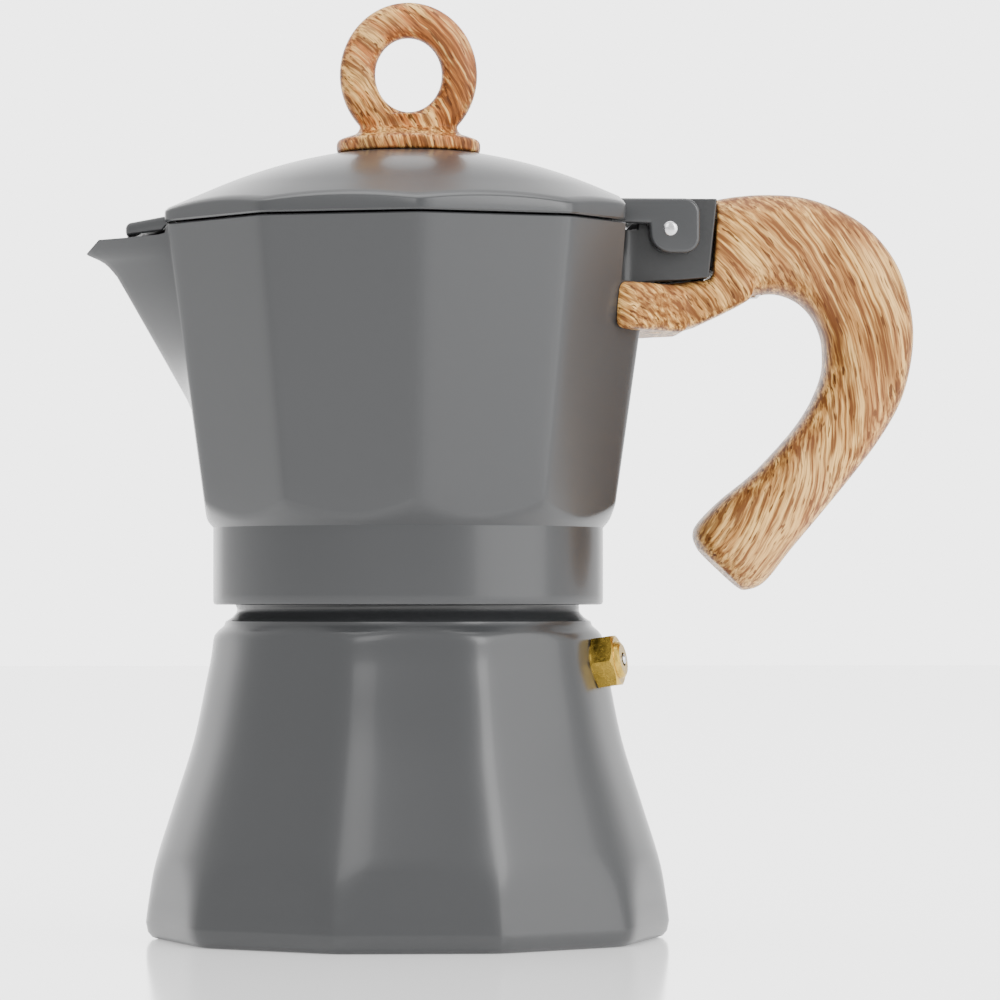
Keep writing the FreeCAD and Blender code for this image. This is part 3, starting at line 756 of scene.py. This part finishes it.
class MOKA_OT_jug(bpy.types.Operator):
    """Cast jug with its spout, its threaded collar and the recess for the hinge"""
    bl_idname = "moka.jug"
    bl_label = "Jug"

    def execute(self, context):
        rings = jug_rings(spaced_angles(facet_corners(18) + [180]))
        piece = skin("jug_casting", rings, "enamel", "inside", loop=True)
        for face in piece.data.polygons:
            flat = face.center.xy
            around, height = flat.length / MM, face.center.z / MM
            inward = face.normal.xy.dot(flat) < -0.3 * flat.length
            roof = face.normal.z < -0.6 and height > 77 and around < 35
            floor = 77 < height < 84 and around < 36.5 and abs(face.normal.z) > 0.5
            face.material_index = 1 if inward or roof or floor else 0
        lip = [(-80, LIP[0][1]), *LIP, (LIP[-1][0], 140), (-80, 140)]
        boolean(piece, slab("lip_room", lip, 30, 0, "enamel"))
        (low_x, low), (high_x, high) = RECESS
        room = [(low_x, low), (60, low), (60, high + 3), (high_x + 0.2, high + 3)]
        boolean(piece, slab("recess_room", room, 34, 0, "enamel"))
        ledge = [(height, 36.6, jug_corner(height) * 0.951 - 0.4) for height in (low - 2.6, low)]
        boolean(piece, hinge_block("ledge", ledge), "UNION")
        wall = [(low - 0.2, 36.6, low_x), (high, 37.3, high_x)]
        boolean(piece, hinge_block("recess_wall", wall), "UNION")
        replace(smooth(piece, 36), "jug_body", "grey_enamel", "jug")
        return {"FINISHED"}


COLUMN = ((2.2, 119), (3.2, 118), (3.2, 92), (5.8, 80.5), (6.2, 78.6), (6.6, 78.6), (10.5, 81.0), (9.6, 81.6),
          (8.7, 82.8), (8.3, 84.5), (7.3, 100), (6.2, 118.5), (6.0, 119.6), (5.4, 120.6), (4.0, 121))
OUTLETS = ((-12, 114.4), (12, 114.4), (12, 118.4), (-12, 118.4))


class MOKA_OT_column(bpy.types.Operator):
    """Riser column inside the jug, with two outlets under its cap"""
    bl_idname = "moka.column"
    bl_label = "Riser column"

    def execute(self, context):
        piece = capped("riser_column", rings_at(even_angles(64), COLUMN), "inside")
        boolean(piece, slab("outlet_cutter", OUTLETS, 1.9, 0.3, "inside"))
        replace(smooth(piece, 35), "jug_body", "bare_aluminium")
        return {"FINISHED"}


class MOKA_OT_bracket(bpy.types.Operator):
    """Bracket on the jug's back: the hinge lug, its rounded root and the tongue inside the handle"""
    bl_idname = "moka.bracket"
    bl_label = "Bracket"

    def execute(self, context):
        outline = [(38.6, 123.65), (44.4, 123.75), (56.3, 124.8), (57.9, 139.7)]
        outline += arc_points(PIN, 5.9, 90, 180, 12) + [(38.6, PIN[1])]
        # The lug, its root and the tongue take the darker enamel: painted shade round the hinge, on a grey
        # enamel part.
        piece = slab("hinge_bracket", outline, 11, 0.35, "bracket")
        plan = mirrored([(38.2, 13.6), *arc_points((42, 13.5), 2.5, 180, 270, 7), (46, 10.9)])
        boolean(piece, slab("root", plan, (123.62, PIN[1] - 0.1), 0, "bracket", axis="Z"), "UNION")
        tongue = ((55, 127), (69.9, 127), (69.9, 136), (55, 136))
        boolean(piece, slab("tongue", tongue, 4, 0.3, "bracket"), "UNION")
        replace(smooth(piece), "jug_body", "grey_enamel")
        return {"FINISHED"}


class MOKA_OT_hinge_pin(bpy.types.Operator):
    """Steel pin with two domed ends"""
    bl_idname = "moka.hinge_pin"
    bl_label = "Hinge pin"

    def execute(self, context):
        (x_low, low, z_low), (x_high, high, z_high) = np.array(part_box("hinge_pin")) / MM
        x, z, radius = (x_low + x_high) / 2, (z_low + z_high) / 2, (x_high - x_low) / 2
        dome = [(math.sin(a), 0.6 - 0.6 * math.cos(a)) for a in np.linspace(0, math.pi / 2, 7)[1:]]
        profile = [(radius * s, low + d) for s, d in dome] + [(radius * s, high - d) for s, d in dome[::-1]]
        rings = [[(x + r * math.cos(t), y, z + r * math.sin(t)) for t in even_angles(32)] for r, y in profile]
        piece = skin("hinge_pin_domed", [[(x, low, z)]] + rings + [[(x, high, z)]], "steel")
        replace(smooth(piece, 60), "jug_body", "steel", "hinge_pin")
        return {"FINISHED"}


# -------- lid

LID_CORNER = 48.5
LID_BACK = 39.7
CROWN_TOP, CROWN_CURVE = 149.7, 0.0058
SLOPE_START, SLOPE_TOP, SLOPE = 39.2, 140.79, 0.425
CROWN_SEAT, CROWN_UNDER = 148.8, 146.9


def dome_height(radius, drop=0.0):
    """The lid's crown: an arc that runs out to a straight slope near the rim."""
    arc = CROWN_TOP - CROWN_CURVE * radius ** 2
    slope = SLOPE_TOP - (radius - SLOPE_START) * SLOPE
    return np.where(radius < SLOPE_START, arc, slope) - drop


def lid_rings(angles):
    bottom = RIM + 0.4
    normals = [index * FACET for index in range(10)]
    sides = [LID_BACK] + [LID_CORNER * math.cos(FACET / 2)] * 9
    edge = soft_polygon(angles, normals, sides, castings().edge_softness)
    rings = [[(0, 0, CROWN_SEAT)]] + rings_at(angles, ((4, CROWN_SEAT), (12.2, CROWN_SEAT)))
    for share in np.linspace(0.29, 0.985, 22):
        rings.append(ring_at(angles, edge * share, dome_height(edge * share)))
    for inset, drop in ((0.35, 0.05), (0.1, 0.25), (0, 0.6)):
        rings.append(ring_at(angles, edge - inset, dome_height(edge) - drop))
    for inset, height in ((0, bottom + 0.3), (0.3, bottom), (1.9, bottom), (2.1, bottom + 0.3)):
        rings.append(ring_at(angles, edge - inset, height))
    for share in np.linspace(1, 0.1, 12):
        radius = (edge - 2.2) * share
        rings.append(ring_at(angles, radius, np.minimum(dome_height(radius, 1.9), CROWN_UNDER)))
    return rings + [[(0, 0, CROWN_UNDER)]]


# One hinge ear seen from the side, with its round knuckle under the tab.
EAR = [(38, 134.75), (44.8, 134.75), *arc_points((48.7, 133.1), 3.9, 180, 270, 9),
       *arc_points((51.4, 132.1), 2.9, 270, 360, 8), *arc_points((51.5, 136.7), 2.8, 0, 90, 8), (38, 139.5)]
EAR_SIDES = ((-14.5, -11.35), (11.35, 14.5))


class MOKA_OT_lid(bpy.types.Operator):
    """Domed lid with ten rim facets, two hinge ears and the spout's cover"""
    bl_idname = "moka.lid"
    bl_label = "Lid"

    def execute(self, context):
        end = math.degrees(math.acos(LID_BACK / LID_CORNER / math.cos(FACET / 2))) - 36
        angles = spaced_angles(facet_corners(18)[1:-1] + [36 + end, -36 - end])
        dome = skin("dome", lid_rings(angles), "enamel", "inside")
        for face in dome.data.polygons:
            under = face.normal.z < -0.2 and face.center.z > 135.2 * MM
            face.material_index = 1 if under else 0
        smooth(dome, 36)
        ears = [slab("ear", EAR, sides, 0.7, "enamel") for sides in EAR_SIDES]
        bridge = ((37.5, 134.8), (42.0, 134.8), (42.0, 139.4), (37.5, 139.4))
        bridge = slab("bridge", bridge, 14.2, 0.4, "enamel")
        plan = ((-44.6, -13.6), (-44.6, 13.6), (-46.7, 11.9), (-53.5, 6.4), (-53.5, -6.4), (-46.7, -11.9))
        cover = slab("cover", plan, (132.35, 135.2), 0.9, "enamel", axis="Z", segments=5)
        for vertex in cover.data.vertices:
            x, high = vertex.co.x / MM, vertex.co.z > 133.8 * MM
            vertex.co.z += ((x + 50) * 0.13 + 0.2 if high else (x + 53.5) * 0.06) * MM
            if x > -46.5 and not high:
                vertex.co.z = 134.9 * MM
        replace(combine("lid_shell", [dome, cover, bridge] + ears), "lid_body", "grey_enamel", "lid")
        return {"FINISHED"}


# -------- grips

# Points along the grip's back, each with its partner on the side of the hand.
GRIP_PAIRS = (
    ((58.3, 140.15), (57.0, 119.4)), ((62.0, 140.8), (60.6, 119.3)), ((67.5, 141.2), (65.4, 121.6)),
    ((74.5, 140.8), (69.8, 122.3)), ((81.5, 138.6), (74.0, 120.9)), ((88.0, 134.5), (77.0, 118.0)),
    ((93.2, 127.8), (78.7, 114.2)), ((95.8, 119.5), (79.1, 110.6)), ((96.15, 111.8), (78.8, 106.9)),
    ((94.2, 102.8), (77.0, 102.2)), ((90.2, 95.3), (74.2, 97.6)), ((84.6, 87.8), (70.2, 92.8)),
    ((78.0, 79.8), (65.3, 87.8)), ((72.6, 73.4), (59.6, 83.2)), ((68.6, 68.3), (55.3, 78.9)),
    ((66.2, 66.4), (54.2, 76.4)), ((63.6, 65.8), (55.0, 73.9)))
GRIP_WIDTHS = (1, 1, 1, 1, 0.99, 0.98, 0.97, 0.96, 0.95, 0.94, 0.93, 0.93, 0.95, 0.97, 0.97, 0.86, 0.6)
ARM = ((44, 114.1), (50, 114.7), (55, 116.2), (60.5, 118.8), (66, 121.6), (64, 127), (58, 126), (56.4, 124.6),
       (50, 123.9), (44, 123.4))
SADDLE = ((42, -14), (38.0, -20.6), (37.9, -22.8), (41.2, -22.4), (45.3, -18.6), (48.8, -13.6), (52.5, -10))
BRACKET_ROOM = ((36, 123.45), (45.2, 123.6), (56.4, 124.72), (58.05, 140.4), (58.6, 146), (36, 146))
TONGUE_ROOM = ((50, 126.8), (70.3, 126.8), (70.3, 136.2), (50, 136.2))
SCREW_X = 64
SCREW_ROOM = ((3.65, 112), (3.65, 124.1), (1.8, 124.1), (1.8, 127.5))


def superellipse(first, second, half, count=40, power=2.7):
    """A closed section between two points of the side view, as wide as half to each side."""
    middle = ((first[0] + second[0]) / 2, (first[1] + second[1]) / 2)
    arm = ((first[0] - second[0]) / 2, (first[1] - second[1]) / 2)
    ring = []
    for turn in even_angles(count):
        c, s = (math.copysign(abs(part) ** (2 / power), part) for part in (math.cos(turn), math.sin(turn)))
        ring.append((middle[0] + arm[0] * c, half * s, middle[1] + arm[1] * c))
    return ring


def loft(name, pairs, halves, finish, steps=6):
    """Superelliptic sections between pairs of side-view points, closed at both ends."""
    outer, inner = (curve_through([pair[side] for pair in pairs], steps) for side in (0, 1))
    widths = curve_through([(half, 0) for half in halves], steps)[:, 0]
    return capped(name, [superellipse(a, b, w) for a, b, w in zip(outer, inner, widths)], finish)


def remeshed(piece, voxel, smoothing):
    """Joins a piece's overlapping parts in one skin and rounds the creases between them."""
    modifier = piece.modifiers.new("Skin", "REMESH")
    modifier.mode = "VOXEL"
    modifier.voxel_size = voxel
    bake(piece)
    modifier = piece.modifiers.new("Soften", "SMOOTH")
    modifier.factor = 0.5
    modifier.iterations = smoothing
    return bake(piece)


class MOKA_OT_handle(bpy.types.Operator):
    """Curved handle with a short arm and a saddle that holds the jug's back"""
    bl_idname = "moka.handle"
    bl_label = "Handle"

    def execute(self, context):
        wood = "handle_wood"
        half = grips().handle_half / MM
        parts = [loft("grip", GRIP_PAIRS, [half * share for share in GRIP_WIDTHS], wood),
                 slab("arm", ARM, half - 0.4, 2.6, wood),
                 slab("saddle", mirrored(SADDLE), (114.6, 123.4), 3.0, wood, axis="Z")]
        piece = remeshed(combine("handle_grip", parts), grips().voxel, 6)
        angles = spaced_angles(facet_corners(18))
        core = [ring_at(angles, jug_radius(angles, height, -0.12), height) for height in (105, 130)]
        boolean(piece, capped("jug_core", core, wood))
        boolean(piece, slab("bracket_room", BRACKET_ROOM, 26, 0, wood))
        boolean(piece, slab("tongue_room", TONGUE_ROOM, 4.15, 0.2, wood))
        turns = even_angles(32)
        hole = [[(SCREW_X + r * math.cos(t), r * math.sin(t), z) for t in turns] for r, z in SCREW_ROOM]
        boolean(piece, capped("screw_room", hole, wood))
        replace(smooth(piece, 40), "jug_body", "wood_look", "handle")
        return {"FINISHED"}


RING_CENTRE = 163.8
RING_OUTER, RING_INNER = (13.1, 13.85), (6.3, 7.0)
STEM = ((3.3, 148.85), (13.3, 148.85), (13.65, 149.15), (13.7, 150.6), (13.3, 151.3), (11.8, 151.9),
        (10.2, 152.4), (9.5, 153.0), (9.2, 154.0), (9.3, 155.2))


class MOKA_OT_knob(bpy.types.Operator):
    """Ring knob on a round flange"""
    bl_idname = "moka.knob"
    bl_label = "Knob"

    def execute(self, context):
        angles = even_angles(96)
        rings = []
        for turn in angles:
            outer, inner = ((wide * math.cos(turn), RING_CENTRE + tall * math.sin(turn))
                            for wide, tall in (RING_OUTER, RING_INNER))
            rings.append(superellipse(outer, inner, grips().ring_depth / MM, 28, 2.3))
        ring = skin("ring", rings, "knob_wood", loop=True)
        foot = [[(0, 0, 154)], ring_at(angles, 3.3, 154)]
        for radius, height in STEM:
            narrow = 1 - np.clip((height - 151.6) / 2.4, 0, 1) * 0.52
            x, y = np.cos(angles), np.sin(angles) * narrow
            foot.append(ring_at(np.arctan2(y, x), radius * np.hypot(x, y), height))
        foot += [ring_at(angles, 5, 156.2), [(0, 0, 156.4)]]
        piece = combine("knob_ring", [ring, skin("foot", foot, "knob_wood")])
        replace(smooth(remeshed(piece, 0.3 * MM, 5), 50), "lid_body", "wood_look", "knob")
        return {"FINISHED"}


# -------- perforated plates

def plate_tree(material):
    """Geometry nodes: a round sheet with staggered rows of round holes inside a plain rim."""
    tree = bpy.data.node_groups.new("perforated_plate", "GeometryNodeTree")
    face = tree.interface
    face.new_socket("Geometry", in_out="OUTPUT", socket_type="NodeSocketGeometry")
    for name in ("Radius", "Thickness", "Height", "Hole radius", "Step", "Crown"):
        face.new_socket(name, in_out="INPUT", socket_type="NodeSocketFloat")
    nodes, link = tree.nodes, tree.links.new
    given = nodes.new("NodeGroupInput").outputs
    result = nodes.new("NodeGroupOutput")

    def add(kind, inputs=None, **settings):
        return add_node(tree, kind, settings, inputs)

    def math_node(operation, first, second):
        return add("ShaderNodeMath", {0: first, 1: second}, operation=operation).outputs[0]

    sheet = add("GeometryNodeMeshCylinder", {"Vertices": 128, "Radius": given["Radius"],
                                             "Depth": given["Thickness"]})
    lift = add("ShaderNodeCombineXYZ", {2: given["Height"]})
    raised = add("GeometryNodeTransform", {"Geometry": sheet.outputs["Mesh"], "Translation": lift.outputs[0]})
    wide = math_node("MULTIPLY", given["Radius"], 2.2)
    count = math_node("DIVIDE", wide, given["Step"])
    grid = add("GeometryNodeMeshGrid", {"Size X": wide, "Size Y": wide,
                                        "Vertices X": count, "Vertices Y": count})
    where = add("GeometryNodeInputPosition")
    parts = add("ShaderNodeSeparateXYZ", {0: where.outputs[0]})
    row = math_node("ROUND", math_node("DIVIDE", parts.outputs[1], given["Step"]), 0.0)
    odd = math_node("PINGPONG", row, 1.0)
    half_step = math_node("MULTIPLY", given["Step"], 0.5)
    shift = add("ShaderNodeCombineXYZ", {0: math_node("MULTIPLY", odd, half_step), 2: given["Height"]})
    moved = add("GeometryNodeSetPosition", {"Geometry": grid.outputs["Mesh"], "Offset": shift.outputs[0]})
    spot = add("GeometryNodeInputPosition")
    flat = add("ShaderNodeVectorMath", {0: spot.outputs[0], 1: (1, 1, 0)}, operation="MULTIPLY")
    far = add("ShaderNodeVectorMath", {0: flat.outputs[0]}, operation="LENGTH")
    outside = add("FunctionNodeCompare", {0: far.outputs["Value"], 1: given["Crown"]},
                  operation="GREATER_THAN")
    kept = add("GeometryNodeDeleteGeometry", {0: moved.outputs[0], 1: outside.outputs[0]})
    deep = math_node("MULTIPLY", given["Thickness"], 3.0)
    drill = add("GeometryNodeMeshCylinder", {"Vertices": 12, "Radius": given["Hole radius"], "Depth": deep})
    drills = add("GeometryNodeInstanceOnPoints", {"Points": kept.outputs[0],
                                                  "Instance": drill.outputs["Mesh"]})
    solid = add("GeometryNodeRealizeInstances", {0: drills.outputs[0]})
    cut = add("GeometryNodeMeshBoolean", {"Mesh 1": raised.outputs[0], "Mesh 2": solid.outputs[0]},
              operation="DIFFERENCE")
    real = add("GeometryNodeRealizeInstances", {0: cut.outputs[0]})
    painted = add("GeometryNodeSetMaterial", {0: real.outputs[0], "Material": material})
    link(painted.outputs[0], result.inputs[0])
    return tree


def perforated(name, node, body, crown):
    """A CAD plate made again with its holes, inside a plain rim."""
    shape = plates()
    piece = in_scene(name, bpy.data.meshes.new(name))
    modifier = piece.modifiers.new("Perforations", "NODES")
    modifier.node_group = plate_tree(finish_of("spun"))
    low, high = reach(node, 2, False), reach(node, 2)
    sizes = {"Radius": reach(node, 0) * MM, "Thickness": (high - low) * MM, "Height": (high + low) / 2 * MM,
             "Hole radius": shape.hole_radius, "Step": shape.hole_step, "Crown": crown * MM}
    for item in modifier.node_group.interface.items_tree:
        if item.in_out == "INPUT":
            modifier[item.identifier] = float(sizes[item.name])
    bake(piece)
    replace(smooth(piece, 35), body, "bare_aluminium", node)


class MOKA_OT_plates(bpy.types.Operator):
    """Perforated sieve of the funnel and filter plate of the jug"""
    bl_idname = "moka.plates"
    bl_label = "Perforated plates"

    def execute(self, context):
        perforated("sieve_holes", "funnel_sieve", "funnel_unit", 24.0)
        perforated("filter_holes", "filter_plate", "filter", 25.0)
        return {"FINISHED"}


# -------- parts that keep their CAD shape

KEPT = {
    "valve_body": "brass", "valve_washer": "brass", "valve_retainer": "brass", "valve_plunger": "steel",
    "valve_spring": "steel", "funnel": "spun", "gasket": "silicone", "knob_insert": "brass",
    "knob_screw": "steel", "knob_washer": "steel", "handle_screw": "steel", "handle_washer": "steel",
}


class MOKA_OT_hardware(bpy.types.Operator):
    """Finishes of the valve, the funnel, the seal and the screws"""
    bl_idname = "moka.hardware"
    bl_label = "Hardware finishes"

    def execute(self, context):
        for node, finish in KEPT.items():
            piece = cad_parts[node]
            piece.data.materials.clear()
            piece.data.materials.append(finish_of(finish))
        return {"FINISHED"}


# -------- stage

# Name, place, target, width and height, and power.
LIGHTS = (
    ("right_softbox", (0.90, -0.50, 0.30), (0, 0, 0.10), (0.95, 1.0), 7.5),
    ("key_softbox", (0.62, -0.62, 0.58), (0, 0, 0.06), (0.24, 0.6), 2.6),
    ("front_softbox", (-0.34, -0.94, 0.70), (0, 0, 0.06), (0.46, 0.6), 2.6),
    ("top_softbox", (0.0, 0.05, 1.0), (0, 0, 0.05), (0.9, 0.7), 5),
)
FLOOR_HALF = 4000
BACKDROP = (-0.05, 0.999, 0.0)
CAMERA_PLACE, CAMERA_TARGET = (-0.034, -0.968, 0.064), (0.0174, -0.0006, 0.083)


def aim(thing, place, target):
    """Puts a light or a camera at a place, facing a target."""
    thing.location = place
    thing.rotation_euler = (Vector(target) - thing.location).to_track_quat("-Z", "Y").to_euler()


def area_light(name, place, target, size, power):
    light = bpy.data.lights.new(name, "AREA")
    light.shape = "RECTANGLE"
    light.size, light.size_y = size
    light.energy = power
    aim(in_scene(name, light), place, target)


class MOKA_OT_stage(bpy.types.Operator):
    """Pale floor, soft studio light and the camera"""
    bl_idname = "moka.stage"
    bl_label = "Stage"

    def execute(self, context):
        scene = context.scene
        corners = [(-FLOOR_HALF, -FLOOR_HALF, 0), (FLOOR_HALF, -FLOOR_HALF, 0),
                   (FLOOR_HALF, FLOOR_HALF, 0), (-FLOOR_HALF, FLOOR_HALF, 0)]
        floor = new_piece("floor", corners, [(0, 1, 2, 3)])
        floor.data.materials.append(Recipe("pale_floor").feed(
            Base_Color=(0.95, 0.95, 0.95), Roughness=0.12, Emission_Color=(1.0, 1.0, 1.0),
            Emission_Strength=0.4))
        # The world is brighter behind the pot, where it stands for a white backdrop.
        world = bpy.data.worlds.new("studio")
        scene.world = world
        world.use_nodes = True
        tree = world.node_tree
        where = add_node(tree, "ShaderNodeTexCoord").outputs["Generated"]
        facing = add_node(tree, "ShaderNodeVectorMath", {"operation": "DOT_PRODUCT"}, {0: where, 1: BACKDROP})
        strength = add_node(tree, "ShaderNodeMapRange", {},
                            {0: facing.outputs["Value"], 1: 0.82, 2: 0.965, 3: 1.25, 4: 4.0})
        background = tree.nodes["Background"]
        plug(tree, background.inputs["Strength"], strength.outputs[0])
        plug(tree, background.inputs["Color"], (1, 1, 1))
        for light in LIGHTS:
            area_light(*light)
        camera = bpy.data.cameras.new("camera")
        camera.lens = 183.6
        camera.sensor_width = 36
        camera.clip_start = 0.05
        scene.camera = in_scene("camera", camera)
        aim(scene.camera, CAMERA_PLACE, CAMERA_TARGET)
        return {"FINISHED"}


# -------- add-on

OPERATORS = (MOKA_OT_stage, MOKA_OT_boiler, MOKA_OT_jug, MOKA_OT_column, MOKA_OT_bracket, MOKA_OT_hinge_pin,
             MOKA_OT_lid, MOKA_OT_handle, MOKA_OT_knob, MOKA_OT_plates, MOKA_OT_hardware)
GROUPS = {"moka_castings": MOKA_PG_castings, "moka_grips": MOKA_PG_grips, "moka_plates": MOKA_PG_plates,
          "moka_colours": MOKA_PG_colours}


class MOKA_PT_panel(bpy.types.Panel):
    """Lists the pot's pieces and settings in the sidebar."""
    bl_idname = "MOKA_PT_panel"
    bl_label = "Moka Pot"
    bl_space_type = "VIEW_3D"
    bl_region_type = "UI"
    bl_category = "Moka Pot"

    def draw(self, context):
        for name, group in GROUPS.items():
            box = self.layout.box()
            for key in group.__annotations__:
                box.prop(getattr(context.scene, name), key)
        for operator in OPERATORS:
            self.layout.operator(operator.bl_idname)


CLASSES = tuple(GROUPS.values()) + OPERATORS + (MOKA_PT_panel,)


def register():
    for item in CLASSES:
        bpy.utils.register_class(item)
    for name, group in GROUPS.items():
        setattr(bpy.types.Scene, name, bpy.props.PointerProperty(type=group))


def unregister():
    for name in GROUPS:
        delattr(bpy.types.Scene, name)
    for item in reversed(CLASSES):
        bpy.utils.unregister_class(item)


def main():
    register()
    for operator in OPERATORS:
        space, action = operator.bl_idname.split(".")
        getattr(getattr(bpy.ops, space), action)()


if __name__ == "__main__":
    main()
